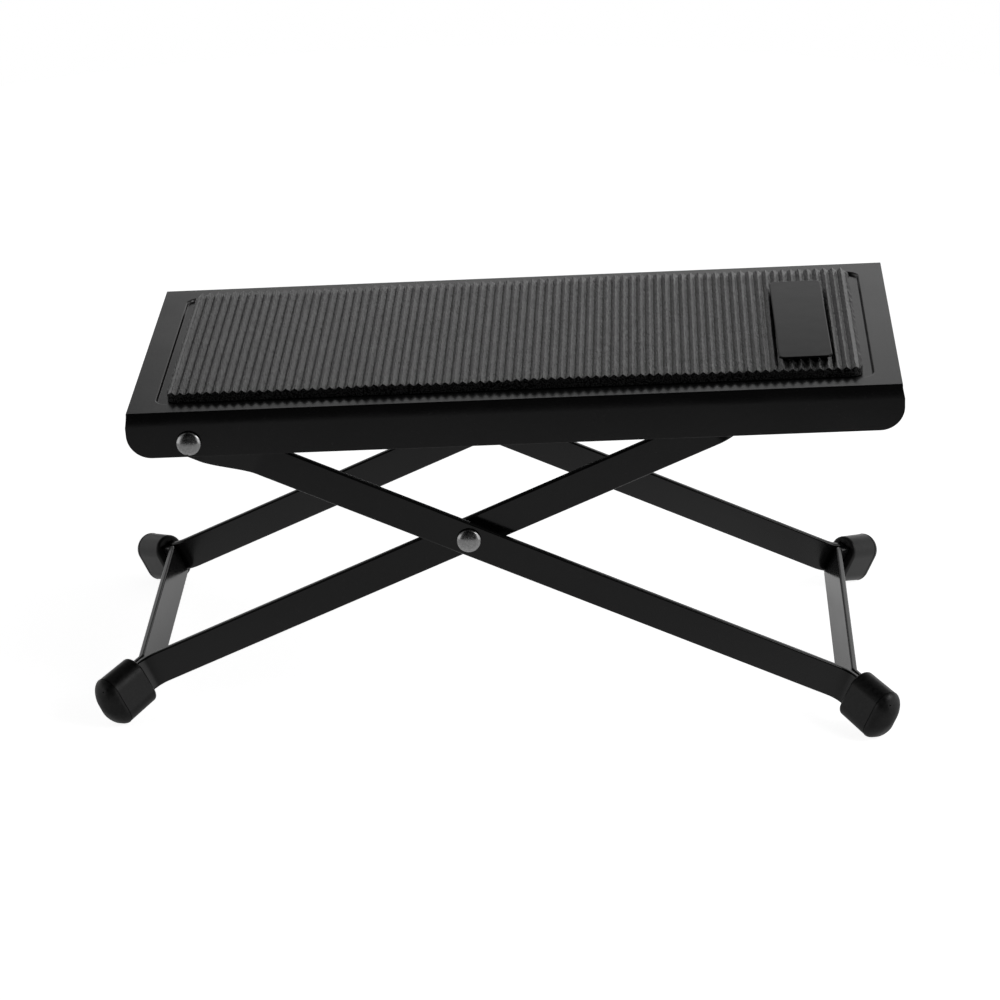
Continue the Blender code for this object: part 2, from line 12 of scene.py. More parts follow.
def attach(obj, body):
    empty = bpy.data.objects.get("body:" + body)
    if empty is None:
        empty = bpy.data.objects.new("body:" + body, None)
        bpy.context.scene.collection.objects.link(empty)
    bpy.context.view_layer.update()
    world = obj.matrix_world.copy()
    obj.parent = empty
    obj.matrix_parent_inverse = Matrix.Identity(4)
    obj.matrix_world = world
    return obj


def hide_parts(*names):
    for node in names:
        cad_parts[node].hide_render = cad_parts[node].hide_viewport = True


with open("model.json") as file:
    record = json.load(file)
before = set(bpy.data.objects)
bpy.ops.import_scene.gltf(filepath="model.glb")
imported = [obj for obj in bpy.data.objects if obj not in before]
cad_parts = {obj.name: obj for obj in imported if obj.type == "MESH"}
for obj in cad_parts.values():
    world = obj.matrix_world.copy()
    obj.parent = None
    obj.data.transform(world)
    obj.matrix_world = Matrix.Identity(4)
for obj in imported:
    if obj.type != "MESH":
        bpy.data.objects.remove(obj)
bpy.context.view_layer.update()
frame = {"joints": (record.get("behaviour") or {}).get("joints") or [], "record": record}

mm = 0.001
degree = math.pi / 180
quarter = math.pi / 2

# How finely round shapes are divided, and where shading breaks
fine_step = 6 * degree
fold_step = 5 * degree
lip_step = 2 * fine_step
ease_step = 3 * fine_step
round_step = 7.5 * degree
bar_edge_step = 15 * degree
sharp_from = 38 * degree
ease_from = 50 * degree
edge_ease_steps = 3
flange_corner_steps = 16
round_profile = 0.5
cut_overrun = 1 * mm
same_place = 0.001 * mm
touch_gap = 0.3 * mm

# Platform
platform_length = 280 * mm
platform_width = 128 * mm
sheet_thickness = 1.5 * mm
sheet_edge_ease = 0.3 * mm
flange_height = 17.5 * mm
flange_overhang = 0.7 * mm
flange_corner_radius = 9 * mm
fold_lead = 0.8 * mm
fold_fall = 5.5 * mm
tray_depth = 1 * mm
tray_end_margin = 3.8 * mm
tray_side_margin = 2.7 * mm
tray_corner_radius = 5 * mm
tray_lip_radius = 0.6 * mm
tray_fillet_radius = 0.4 * mm
tray_wall_slope = 65 * degree
tray_wall_run = 0.4 * mm

# Rubber mat
rib_count = 78
rib_pitch = 3.223 * mm
rib_height = 1 * mm
rib_crest_radius = 0.28 * mm
rib_flank_slope = 36 * degree
rib_shift = -0.35 * mm
mat_width = 104 * mm
mat_thickness = 3.65 * mm
mat_end_run = 2.4 * mm
mat_corner_radius = 4 * mm
mat_shift = -0.6 * mm
mat_lift = 0.65 * mm
mat_lift_shares = (0.3, 0.5, 0.25, 0.2, 0.85, 0.4, 0.5, 1, 1, 1, 0.45, 0.45, 0.2, 0.1)
flute_steps = 9
crest_steps = 4
mat_rows = 34
mat_rim_steps = 4
mat_rim_radius = 0.2 * mm
rib_wander = 0.08 * mm
rib_swell = 0.03 * mm
wander_per_metre = 22
swell_per_metre = 14

# Bare badge plate
badge_length = 79 * mm
badge_width = 19.4 * mm
badge_thickness = 0.8 * mm
badge_corner_radius = 2.5 * mm
badge_edge_radius = 0.4 * mm
badge_inset_from_end = 34.1 * mm
badge_shift = -4.4 * mm
badge_turn = 0.7 * degree

# Flat bar of the leg frames
bar_width = 12.7 * mm
bar_thickness = 2.5 * mm
bar_edge_radius = 0.75 * mm
side_bend_radius = 8 * mm
cross_bend_radius = 1 * mm
joggle_bend_radius = 10 * mm
ear_splay = 47 * degree
ear_layer_gap = 0.4 * mm
end_turn_steps = 12
fold_pivot_inset = 22 * mm
fold_pivot_depth = 12 * mm
outer_lean = 25.52 * degree
outer_frame_half_width = 57.7 * mm
outer_top_arm = 108.8 * mm
outer_foot_arm = 154.1 * mm
outer_joggle_start = 26 * mm
outer_joggle_end = 7 * mm
longest_ring_gap = 2 * mm
pivot_drop = 1.5 * mm
inner_top_arm = 117.6 * mm
inner_foot_arm = 136.4 * mm
inner_joggle = 5 * mm
inner_joggle_start = 17 * mm
inner_joggle_end = 8 * mm
rod_depth = 12 * mm
rod_radius = 3 * mm
rod_head_radius = 4.5 * mm
rod_head_height = 1.4 * mm

# Rivets and washers
shank_radius = 2.5 * mm
head_radius = 4.53 * mm
head_rim = 0.4 * mm
head_dome = 1.7 * mm
formed_head_radius = 4 * mm
formed_head_height = 1.5 * mm
head_edge_ease = 0.3 * mm
washer_radius = 5 * mm
washer_thickness = 1.2 * mm
washer_edge_ease = 0.15 * mm
spacer_thickness = 1.75 * mm

# Notched rails
notch_count = 5
notch_lean_step = 4 * degree
notch_radius = 3.7 * mm
notch_depth = 1.5 * mm
rod_sweep_clearance = 0.8 * mm
rail_thickness = 2 * mm
rail_foot_width = 8 * mm
rail_side_clearance = 1.2 * mm
rail_end_length = 5 * mm
rail_edge_ease = 0.25 * mm

# Rubber caps
cap_start = 2.2 * mm
cap_length = 20.5 * mm
cap_half_width = 6 * mm
cap_top = 9.5 * mm
cap_bottom = 9.6 * mm
cap_lower_radius = 5 * mm
cap_dome_length = 5.9 * mm
cap_end_wall = 2.5 * mm
cap_mouth_radius = 1.2 * mm
cap_flare_share = 0.04
cap_seam_width = 0.35 * mm
cap_seam_depth = 0.25 * mm
cap_seam_lip = 0.1 * mm
cap_seam_floor_shares = (0.7, 0.3)
cap_slit_reach = 1.9 * mm
cap_slit_half_width = 0.2 * mm
cap_slit_depth = 1.5 * mm
dome_power_share = 1.73
dome_trim = 0.15 * mm
dome_steps = 16
mouth_steps = 6

# The photograph's camera, and the studio
camera_place = (44.9 * mm, -1253.4 * mm, 617 * mm)
camera_turn = (66.2 * degree, 0.34 * degree, 1.91 * degree)
camera_lens = 128.76
camera_sensor = 36

# Sizes that follow from the ones above
bar_half = bar_width / 2
inner_frame_half_width = outer_frame_half_width - bar_thickness - spacer_thickness - 2 * touch_gap
flange_inside = platform_width / 2 - sheet_thickness
outer_joggle = flange_inside - touch_gap - outer_frame_half_width
fold_pivot_x = fold_pivot_inset - platform_length / 2
rib_span = (rib_count - 1) * rib_pitch
mat_length = rib_span + 2 * mat_end_run
mat_crest_height = mat_thickness - tray_depth + touch_gap
tray_half_length = mat_length / 2 + tray_end_margin
tray_half_width = mat_width / 2 + tray_side_margin
tray_underside = tray_depth + sheet_thickness
drill_radius = shank_radius + touch_gap

FrameSizes = namedtuple(
    "FrameSizes", "half_width top_arm foot_arm joggle joggle_start joggle_end drop"
)
outer_sizes = FrameSizes(
    outer_frame_half_width,
    outer_top_arm,
    outer_foot_arm,
    outer_joggle,
    outer_joggle_start,
    outer_joggle_end,
    pivot_drop,
)
inner_sizes = FrameSizes(
    inner_frame_half_width,
    inner_top_arm,
    inner_foot_arm,
    -inner_joggle,
    inner_joggle_start,
    inner_joggle_end,
    0,
)


# Where the frame's own coordinate systems stand

def about_y(angle):
    return Matrix.Rotation(angle, 4, "Y")


record = frame["record"]
joint_places = {joint["name"]: Vector(joint["pos_m"]) for joint in frame["joints"]}
mount_axes = {mount["name"]: Vector(mount["axis"]) for mount in record["mounts"]}
top_normal = mount_axes["platform_margin"]
tilt = math.atan2(top_normal.x, top_normal.z)
fold_pivot = Matrix.Translation(joint_places["leg_fold"]) @ about_y(tilt)
platform_frame = fold_pivot @ Matrix.Translation((-fold_pivot_x, 0, fold_pivot_depth))
outer_frame = fold_pivot @ about_y(outer_lean)
crossing = Matrix.Translation(joint_places["scissor_spread"])
crossing_depth = -(platform_frame.inverted() @ crossing.translation).z
inner_lean = math.asin((crossing_depth - rod_depth) / inner_top_arm)
outer_crossing_frame = crossing @ about_y(tilt + outer_lean)
inner_frame = crossing @ about_y(tilt - inner_lean) @ Matrix.Rotation(math.pi, 4, "Z")

body_names = {
    node: body
    for body, nodes in record["behaviour"]["bodies"].items()
    for node in nodes
}
slot_names = {subpart["node"]: subpart["material_slot"] for subpart in record["subparts"]}


# Outlines

def eased(share):
    """The share, from 0 to 1, with a slow start and a slow end."""
    return share * share * (3 - 2 * share)


def arc(centre_u, centre_v, radius, start, end, step=fine_step):
    """Points of an arc from angle start to angle end, both included."""
    count = max(1, round(abs(end - start) / step))
    angles = [start + (end - start) * index / count for index in range(count + 1)]
    return [(centre_u + radius * math.cos(a), centre_v + radius * math.sin(a)) for a in angles]


def circle(radius):
    return arc(0, 0, radius, 0, 4 * quarter, round_step)[:-1]


def rounded_rectangle(half_u, half_v, radius, step=fine_step):
    u = half_u - radius
    v = half_v - radius
    points = arc(u, v, radius, 0, quarter, step)
    points += arc(-u, v, radius, quarter, 2 * quarter, step)
    points += arc(-u, -v, radius, 2 * quarter, 3 * quarter, step)
    points += arc(u, -v, radius, 3 * quarter, 4 * quarter, step)
    return points


def filleted(corners):
    """The path through corners, each (u, v, bend radius), with every bend drawn as an arc."""
    points = [Vector(corners[0][:2])]
    for before, corner, after in zip(corners, corners[1:], corners[2:]):
        here = Vector(corner[:2])
        radius = corner[2]
        back = (Vector(before[:2]) - here).normalized()
        ahead = (Vector(after[:2]) - here).normalized()
        half_opening = back.angle(ahead) / 2
        middle = here + (back + ahead).normalized() * radius / math.sin(half_opening)
        first = here + back * radius / math.tan(half_opening) - middle
        left_turn = back.y * ahead.x - back.x * ahead.y
        turn = math.copysign(math.pi - 2 * half_opening, left_turn)
        start = math.atan2(first.y, first.x)
        bend = [Vector(p) for p in arc(middle.x, middle.y, radius, start, start + turn)]
        touching = (bend[0] - points[-1]).length < same_place
        points += bend[1:] if touching else bend
    points.append(Vector(corners[-1][:2]))
    return points


# Meshes

def skin(rings, closed=False):
    """A mesh stretched over rings of equal length, capped at both ends or closed in a loop."""
    mesh = bmesh.new()
    made = [[mesh.verts.new(point) for point in ring] for ring in rings]
    pairs = list(zip(made, made[1:]))
    if closed:
        pairs.append((made[-1], made[0]))
    else:
        mesh.faces.new(made[0])
        mesh.faces.new(made[-1])
    for ring, following in pairs:
        for index in range(len(ring)):
            quad = (ring[index - 1], ring[index], following[index], following[index - 1])
            mesh.faces.new(quad)
    bmesh.ops.recalc_face_normals(mesh, faces=mesh.faces)
    return mesh


def along_x(outline, low, high):
    return skin([[(x, u, v) for u, v in outline] for x in (low, high)])


def along_y(outline, low, high):
    return skin([[(u, y, v) for u, v in outline] for y in (low, high)])


def turned(stations, closed=False):
    """A body turned about Y from stations, each (place along Y, radius)."""
    rings = [[(u, y, v) for u, v in circle(radius)] for y, radius in stations]
    return skin(rings, closed)


def stacked(levels):
    """A body of rounded rectangles, each (z, half length, half width, corner radius)."""
    rings = []
    for z, half_u, half_v, radius in levels:
        rings.append([(u, v, z) for u, v in rounded_rectangle(half_u, half_v, radius)])
    return skin(rings)


# Pieces

def link(name, mesh, place):
    """An object at the origin, with its mesh moved to the place."""
    mesh.transform(place)
    data = bpy.data.meshes.new(name)
    mesh.to_mesh(data)
    mesh.free()
    made = bpy.data.objects.new(name, data)
    bpy.context.scene.collection.objects.link(made)
    return made


def apply_modifiers(made):
    bpy.context.view_layer.update()
    depsgraph = bpy.context.evaluated_depsgraph_get()
    data = bpy.data.meshes.new_from_object(made.evaluated_get(depsgraph))
    made.modifiers.clear()
    made.data = data


def combine(made, mesh, place, operation="DIFFERENCE"):
    """Joins or cuts a piece with the mesh."""
    helper = link("helper", mesh, place)
    boolean = made.modifiers.new("combine", "BOOLEAN")
    boolean.operation = operation
    boolean.object = helper
    apply_modifiers(made)
    bpy.data.objects.remove(helper)


def drill(made, radius, place):
    """A round hole along Y, right through the piece."""
    combine(made, along_y(circle(radius), -platform_width, platform_width), place)


def ease_edges(made, width):
    ease = made.modifiers.new("eased_edges", "BEVEL")
    ease.width = width
    ease.segments = edge_ease_steps
    ease.limit_method = "ANGLE"
    ease.angle_limit = ease_from
    apply_modifiers(made)


def dress(made, node):
    """Shades the piece, gives it the finish of its node's slot and puts it in the node's place."""
    made.data.shade_smooth()
    made.data.set_sharp_from_angle(angle=sharp_from)
    weighted = made.modifiers.new("weighted_normals", "WEIGHTED_NORMAL")
    weighted.keep_sharp = True
    made.data.materials.clear()
    made.data.materials.append(finishes[slot_names[node]])
    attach(made, body_names[node])
    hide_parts(node)


# Platform

def tray_wall():
    """The pressed wall from lip to floor, as (how far inwards, how far down)."""
    lip = arc(0, -tray_lip_radius, tray_lip_radius, quarter, quarter - tray_wall_slope, lip_step)
    round_drop = (tray_lip_radius + tray_fillet_radius) * (1 - math.cos(tray_wall_slope))
    slant = (tray_depth - round_drop) / math.sin(tray_wall_slope)
    end_run = (tray_lip_radius + tray_fillet_radius) * math.sin(tray_wall_slope)
    end_run += slant * math.cos(tray_wall_slope)
    start = 3 * quarter - tray_wall_slope
    foot_z = tray_fillet_radius - tray_depth
    foot = arc(end_run, foot_z, tray_fillet_radius, start, 3 * quarter, lip_step)
    return [(run, -z) for run, z in lip + foot]


def press_tray(shell):
    """Adds the tray's underside, and then cuts the tray."""
    def level(z, grow):
        radius = tray_corner_radius + grow
        return (z, tray_half_length + grow, tray_half_width + grow, radius)

    place = platform_frame @ Matrix.Translation((0, mat_shift, 0))
    wall = sheet_thickness
    below = [level(-sheet_thickness / 2, wall), level(-sheet_thickness, wall)]
    for run, rise in arc(0, 0, tray_wall_run, 0, -quarter, ease_step):
        grow = wall - tray_wall_run + run
        below.append(level(tray_wall_run - tray_underside + rise, grow))
    combine(shell, stacked(below), place, "UNION")
    wall_points = tray_wall()
    outermost = wall_points[-1][0] / 2
    recess = [level(cut_overrun, outermost)]
    recess += [level(-drop, outermost - run) for run, drop in wall_points]
    combine(shell, stacked(recess), place)


def fold(side):
    """A fold's outside: it turns sharply from the top and eases into the flange."""
    start_v = side * (platform_width / 2 - fold_lead)
    unit = arc(0, 0, 1, 0, quarter, fold_step)
    return [(start_v + side * fold_lead * u, fold_fall * v - fold_fall) for u, v in unit]


def platform_shell():
    half_width = platform_width / 2
    outline = [(half_width, -flange_height)]
    outline += fold(1) + fold(-1)[::-1]
    outline += [(-half_width, -flange_height), (-flange_inside, -flange_height)]
    outline += [(-flange_inside, -sheet_thickness), (flange_inside, -sheet_thickness)]
    outline += [(flange_inside, -flange_height)]
    mesh = along_x(outline, -platform_length / 2, platform_length / 2)
    reach_out_flanges(mesh)
    round_flange_corners(mesh)
    shell = link("folded_shell", mesh, platform_frame)
    ease_edges(shell, sheet_edge_ease)
    press_tray(shell)
    drill(shell, drill_radius, fold_pivot)
    dress(shell, "platform_shell")


def reach_out_flanges(mesh):
    """Lets the flanges reach past the ends of the top, more and more down the fold."""
    for vertex in mesh.verts:
        past_sheet = -vertex.co.z - sheet_thickness
        folded = min(max(past_sheet / (fold_fall - sheet_thickness), 0), 1)
        vertex.co.x += math.copysign(flange_overhang * folded, vertex.co.x)


def round_flange_corners(mesh):
    """Rounds the four lower corners of the flanges."""
    low = cut_overrun - flange_height
    corners = []
    for edge in mesh.edges:
        one, other = edge.verts
        if one.co.x == other.co.x and max(one.co.z, other.co.z) < low:
            corners.append(edge)
    bmesh.ops.bevel(
        mesh,
        geom=corners,
        offset=flange_corner_radius,
        segments=flange_corner_steps,
        profile=round_profile,
        affect="EDGES",
    )


def ribbed_sheet():
    """The ribbed sheet's top: round crests, straight flanks and round flutes, end to end."""
    slope = rib_flank_slope
    fall = rib_pitch / 2 * math.sin(slope) - rib_height * math.cos(slope)
    flute_radius = fall / (1 - math.cos(slope)) - rib_crest_radius
    crest_z = mat_crest_height - rib_crest_radius
    flute_z = mat_crest_height - rib_height + flute_radius
    crest_ends = (quarter + slope, quarter - slope, 2 * slope / crest_steps)
    flute_ends = (-quarter - slope, slope - quarter, 2 * slope / flute_steps)
    points = []
    for index in range(-1, rib_count + 1):
        crest_x = index * rib_pitch - rib_span / 2 + rib_shift
        points += arc(crest_x, crest_z, rib_crest_radius, *crest_ends)
        points += arc(crest_x + rib_pitch / 2, flute_z, flute_radius, *flute_ends)
    return points


def mat_profile():
    """The mat's top along its length, cut from the ribbed sheet."""
    sheet = ribbed_sheet()
    half = mat_length / 2
    inside = [(x, z) for x, z in sheet if abs(x) < half]
    first = next(z for x, z in sheet if x >= -half)
    last = next(z for x, z in reversed(sheet) if x <= half)
    return [(-half, first)] + inside + [(half, last)]


def mat_reach(x):
    """Half the mat's width at x, where its corners are rounded."""
    past = max(0, abs(x) - mat_length / 2 + mat_corner_radius)
    cut = mat_corner_radius - math.sqrt(max(0, mat_corner_radius**2 - past**2))
    return mat_width / 2 - cut


def mat_stations():
    """Across the mat: (share of the half width, distance in from the edge, drop of the edge)."""
    rim = []
    for index in range(mat_rim_steps):
        angle = quarter * index / mat_rim_steps
        inset = mat_rim_radius * (1 - math.cos(angle))
        rim.append((1, inset, mat_rim_radius * (1 - math.sin(angle))))
    inner = []
    for index in range(mat_rows + 1):
        inner.append((1 - 2 * index / mat_rows, mat_rim_radius * (1 - 2 * index / mat_rows), 0))
    far_rim = [(-share, -inset, drop) for share, inset, drop in reversed(rim)]
    return rim + inner + far_rim


def lift_at(x):
    """How far the glued mat stands off its tray at x: it is a little wavy along its length."""
    place_along = (x / mat_length + 1 / 2) * (len(mat_lift_shares) - 1)
    index = min(max(math.floor(place_along), 0), len(mat_lift_shares) - 2)
    run = min(max(place_along - index, 0), 1)
    start, end = mat_lift_shares[index:index + 2]
    return mat_lift * (start + (end - start) * eased(run))


def rib_flaws(x, y):
    """A moulded mat's small faults at a point: how far a rib wanders and how far it swells."""
    across = Vector((x, y, 0)) * wander_per_metre
    along = Vector((x, y, mat_length)) * swell_per_metre
    return rib_wander * noise.noise(across), rib_swell * noise.noise(along)


def mat_top_rows(mesh, outline):
    """Rows of points over the mat's top and its rims, from one side to the other."""
    rows = []
    for share, inset, drop in mat_stations():
        row = []
        for x, z in outline:
            y = share * mat_reach(x) - inset
            wander, swell = rib_flaws(x, y)
            if abs(x) > rib_span / 2:
                wander = 0
            row.append(mesh.verts.new((x + wander, y, z + lift_at(x) - drop + swell)))
        rows.append(row)
    return rows


def rubber_mat():
    outline = mat_profile()
    bottom = touch_gap - tray_depth
    mesh = bmesh.new()
    rows = mat_top_rows(mesh, outline)
    feet = []
    for share in (1, -1):
        feet.append([mesh.verts.new((x, share * mat_reach(x), bottom)) for x, _ in outline])
    rows = [feet[0]] + rows + [feet[1]]
    for row, following in zip(rows, rows[1:]):
        for index in range(1, len(row)):
            mesh.faces.new((row[index - 1], row[index], following[index], following[index - 1]))
    mesh.faces.new([row[0] for row in rows])
    mesh.faces.new([row[-1] for row in rows])
    mesh.faces.new(feet[0] + feet[1][::-1])
    bmesh.ops.recalc_face_normals(mesh, faces=mesh.faces)
    place = platform_frame @ Matrix.Translation((0, mat_shift, 0))
    dress(link("ribbed_mat", mesh, place), "rubber_mat")


def badge_plate():
    length = badge_length / 2
    width = badge_width / 2
    place_x = platform_length / 2 - badge_inset_from_end
    low = mat_crest_height + lift_at(place_x - width) + touch_gap
    levels = [(low, width, length, badge_corner_radius)]
    for run, rise in arc(0, 0, badge_edge_radius, 0, quarter, ease_step):
        inset = badge_edge_radius - run
        z = low + badge_thickness - badge_edge_radius + rise
        levels.append((z, width - inset, length - inset, badge_corner_radius - inset))
    place = platform_frame @ Matrix.Translation((place_x, badge_shift, 0))
    place = place @ Matrix.Rotation(badge_turn, 4, "Z")
    dress(link("bare_badge", stacked(levels), place), "badge_plate")


def rod_x_at(lean):
    """Where the rod is along the platform when the outer frame leans that much."""
    depth = fold_pivot_depth + outer_top_arm * math.sin(lean) - pivot_drop * math.cos(lean)
    crossing_x = fold_pivot_x + outer_top_arm * math.cos(lean) + pivot_drop * math.sin(lean)
    return crossing_x + math.sqrt(inner_top_arm**2 - (depth - rod_depth) ** 2)


def rail_outline():
    """A rail's web seen from the side, with a round notch above each stop of the rod."""
    tooth_tip = rod_radius - rod_depth + rod_sweep_clearance
    centre_z = tooth_tip + notch_depth - notch_radius
    half_angle = math.acos((tooth_tip - centre_z) / notch_radius)
    stops = [rod_x_at(outer_lean + index * notch_lean_step) for index in range(notch_count)]
    top = -tray_underside - touch_gap
    left = min(stops) - rail_end_length
    right = max(stops) + rail_end_length
    points = [(right, top), (left, top), (left, tooth_tip)]
    for stop in sorted(stops):
        points += arc(stop, centre_z, notch_radius, quarter + half_angle, quarter - half_angle)
    points.append((right, tooth_tip))
    return points, left, right, top


def height_rails():
    outline, left, right, top = rail_outline()
    web_outside = inner_frame_half_width - inner_joggle - bar_thickness - rail_side_clearance
    web_inside = web_outside - rail_thickness
    for side, name in ((-1, "front"), (1, "back")):
        low, high = sorted((side * web_inside, side * web_outside))
        rail = link(f"notched_rail_{name}", along_y(outline, low, high), platform_frame)
        foot_inside = web_inside - rail_foot_width
        near, far = sorted((side * foot_inside, side * (web_inside + rail_thickness / 2)))
        foot = [(near, top), (far, top), (far, top - rail_thickness), (near, top - rail_thickness)]
        combine(rail, along_x(foot, left, right), platform_frame, "UNION")
        ease_edges(rail, rail_edge_ease)
        dress(rail, f"height_rail_{name}")


# Leg frames

def frame_half(sizes):
    """Corners of one half of a frame's centre line, from the cross bar to the top pivot."""
    half_bar = bar_thickness / 2
    offset = half_bar + ear_layer_gap / 2
    along = Vector((math.cos(ear_splay), math.sin(ear_splay)))
    aside = Vector((-along.y, along.x))
    corner = Vector((sizes.foot_arm, sizes.half_width))
    cross_at = (-half_bar - offset * along.y) / along.x
    side_at = (-half_bar - offset * along.x) / along.y
    cross_corner = corner + along * cross_at - aside * offset
    side_corner = corner + along * side_at + aside * offset
    tip = corner + along * (cap_start + cap_length - cap_end_wall - touch_gap - half_bar)
    side_v = sizes.half_width - half_bar
    return [
        (*cross_corner, cross_bend_radius + half_bar),
        (*(tip - aside * offset), offset),
        (*(tip + aside * offset), offset),
        (*side_corner, side_bend_radius + half_bar),
        (sizes.joggle_start - sizes.top_arm, side_v, joggle_bend_radius),
        (sizes.joggle_end - sizes.top_arm, side_v + sizes.joggle, joggle_bend_radius),
        (-sizes.top_arm, side_v + sizes.joggle, 0),
    ]


def path_directions(path):
    """The unit direction of travel at each point, and how far a mitre widens the bar there."""
    found = []
    for index, point in enumerate(path):
        before = path[max(index - 1, 0)]
        after = path[min(index + 1, len(path) - 1)]
        arriving = (point - before).normalized() if index else (after - point).normalized()
        leaving = (after - point).normalized() if after is not point else arriving
        middle = (arriving + leaving).normalized()
        found.append((middle, 1 / middle.dot(arriving)))
    return found


def bar_rings(path):
    """The bar's section set square across the path at each of its points."""
    section = rounded_rectangle(bar_thickness / 2, bar_half, bar_edge_radius, bar_edge_step)
    rings = []
    for point, (direction, widen) in zip(path, path_directions(path)):
        across = Vector((-direction.y, direction.x)) * widen
        rings.append([(*(point + across * a), upright) for a, upright in section])
    return rings


def divided(path):
    """The path with its long straight stretches divided."""
    points = []
    for point, following in zip(path, path[1:]):
        count = math.ceil((following - point).length / longest_ring_gap)
        points += [point.lerp(following, index / count) for index in range(count)]
    return points + [path[-1]]


def rounded_end(ring):
    """Rings that carry the bar past its pivot and close its end round the pivot."""
    rings = []
    for index in range(1, end_turn_steps):
        turn = quarter * index / end_turn_steps
        shift = bar_half * math.sin(turn)
        rings.append([(x - shift, y, z * math.cos(turn)) for x, y, z in ring])
    return rings


def leg_frame_mesh(sizes):
    """A frame of one bent bar, its crossing at the origin and its feet towards +X."""
    half = frame_half(sizes)
    mirrored = [(u, -v, radius) for u, v, radius in reversed(half)]
    rings = bar_rings(divided(filleted(mirrored + half)))
    rings = rounded_end(rings[0])[::-1] + rings + rounded_end(rings[-1])
    lowered = []
    for ring in rings:
        past_start = sizes.joggle_start - sizes.top_arm - ring[0][0]
        run = past_start / (sizes.joggle_start - sizes.joggle_end)
        fall = sizes.drop * eased(min(max(run, 0), 1))
        lowered.append([(x, y, z - fall) for x, y, z in ring])
    return skin(lowered)


def leg_frames():
    outer = link("outer_bent_bar", leg_frame_mesh(outer_sizes), outer_crossing_frame)
    drill(outer, drill_radius, outer_crossing_frame)
    drill(outer, drill_radius, outer_frame)
    dress(outer, "outer_leg_frame")
    inner = link("inner_bent_bar", leg_frame_mesh(inner_sizes), inner_frame)
    drill(inner, drill_radius, inner_frame)
    rod_place = inner_frame @ Matrix.Translation((-inner_top_arm, 0, 0))
    drill(inner, rod_radius + touch_gap, rod_place)
    dress(inner, "inner_leg_frame")


def locking_rod():
    shoulder = inner_frame_half_width - inner_joggle + touch_gap
    end = shoulder + rod_head_height
    half = [(shoulder, rod_radius), (shoulder, rod_head_radius)]
    middle = (end - head_edge_ease, rod_head_radius - head_edge_ease)
    half += arc(*middle, head_edge_ease, quarter, 0, ease_step)
    stations = [(-y, radius) for y, radius in reversed(half)] + half
    place = inner_frame @ Matrix.Translation((-inner_top_arm, 0, 0))
    dress(link("round_rod", turned(stations), place), "locking_rod")


# Rivets and washers

def rivet_stations(outer_seat, inner_seat):
    """A rivet's stations along Y, from its formed head inside to its domed head outside."""
    inner_end = inner_seat - formed_head_height
    middle = (inner_end + head_edge_ease, formed_head_radius - head_edge_ease)
    stations = arc(*middle, head_edge_ease, 2 * quarter, quarter, ease_step)
    stations += [
        (inner_seat, formed_head_radius),
        (inner_seat, shank_radius),
        (outer_seat, shank_radius),
        (outer_seat, head_radius),
    ]
    rim_top = outer_seat + head_rim
    for across, rise in arc(0, 0, 1, 0, quarter)[:-1]:
        stations.append((rim_top + head_dome * rise, head_radius * across))
    return stations


def washer_stations(low, high):
    ease = washer_edge_ease
    return [
        (low, drill_radius),
        (low, washer_radius - ease),
        (low + ease, washer_radius),
        (high - ease, washer_radius),
        (high, washer_radius - ease),
        (high, drill_radius),
    ]


def both_sides(name, node, stations, place, closed=False):
    """A piece on the front and on the back side, its +Y outward on both."""
    for side, turn in (("front", math.pi), ("back", 0)):
        facing = place @ Matrix.Rotation(turn, 4, "Z")
        dress(link(f"{name}_{side}", turned(stations, closed), facing), f"{node}_{side}")


def rivets_and_washers():
    outer_seat = platform_width / 2 + touch_gap
    washer_high = flange_inside - 2 * touch_gap - bar_thickness
    washer_low = washer_high - washer_thickness
    rivet = rivet_stations(outer_seat, washer_low - touch_gap)
    both_sides("hinge_rivet", "platform_rivet", rivet, fold_pivot)
    washer = washer_stations(washer_low, washer_high)
    both_sides("hinge_washer", "platform_washer", washer, fold_pivot, closed=True)
    spacer_low = inner_frame_half_width + touch_gap
    backing_high = inner_frame_half_width - bar_thickness - touch_gap
    backing_low = backing_high - washer_thickness
    rivet = rivet_stations(outer_frame_half_width + touch_gap, backing_low - touch_gap)
    both_sides("crossing_rivet", "scissor_rivet", rivet, outer_crossing_frame)
    spacer = washer_stations(spacer_low, spacer_low + spacer_thickness)
    both_sides("crossing_spacer", "scissor_washer", spacer, outer_crossing_frame, closed=True)
    backing = washer_stations(backing_low, backing_high)
    both_sides("crossing_washer", "backing_washer", backing, outer_crossing_frame, closed=True)


# Rubber caps

def cap_section(scale, inset):
    """The cap's arch section as (across, upright) points, drawn in and scaled about its middle."""
    radius = cap_half_width - inset
    lower = cap_lower_radius - inset
    side = cap_half_width - cap_lower_radius
    points = arc(0, cap_top - cap_half_width, radius, 0, 2 * quarter)
    points += arc(-side, cap_lower_radius - cap_bottom, lower, 2 * quarter, 3 * quarter)
    points += arc(side, cap_lower_radius - cap_bottom, lower, 3 * quarter, 4 * quarter)
    middle = (cap_top - cap_bottom) / 2
    return [(across * scale, middle + (upright - middle) * scale) for across, upright in points]


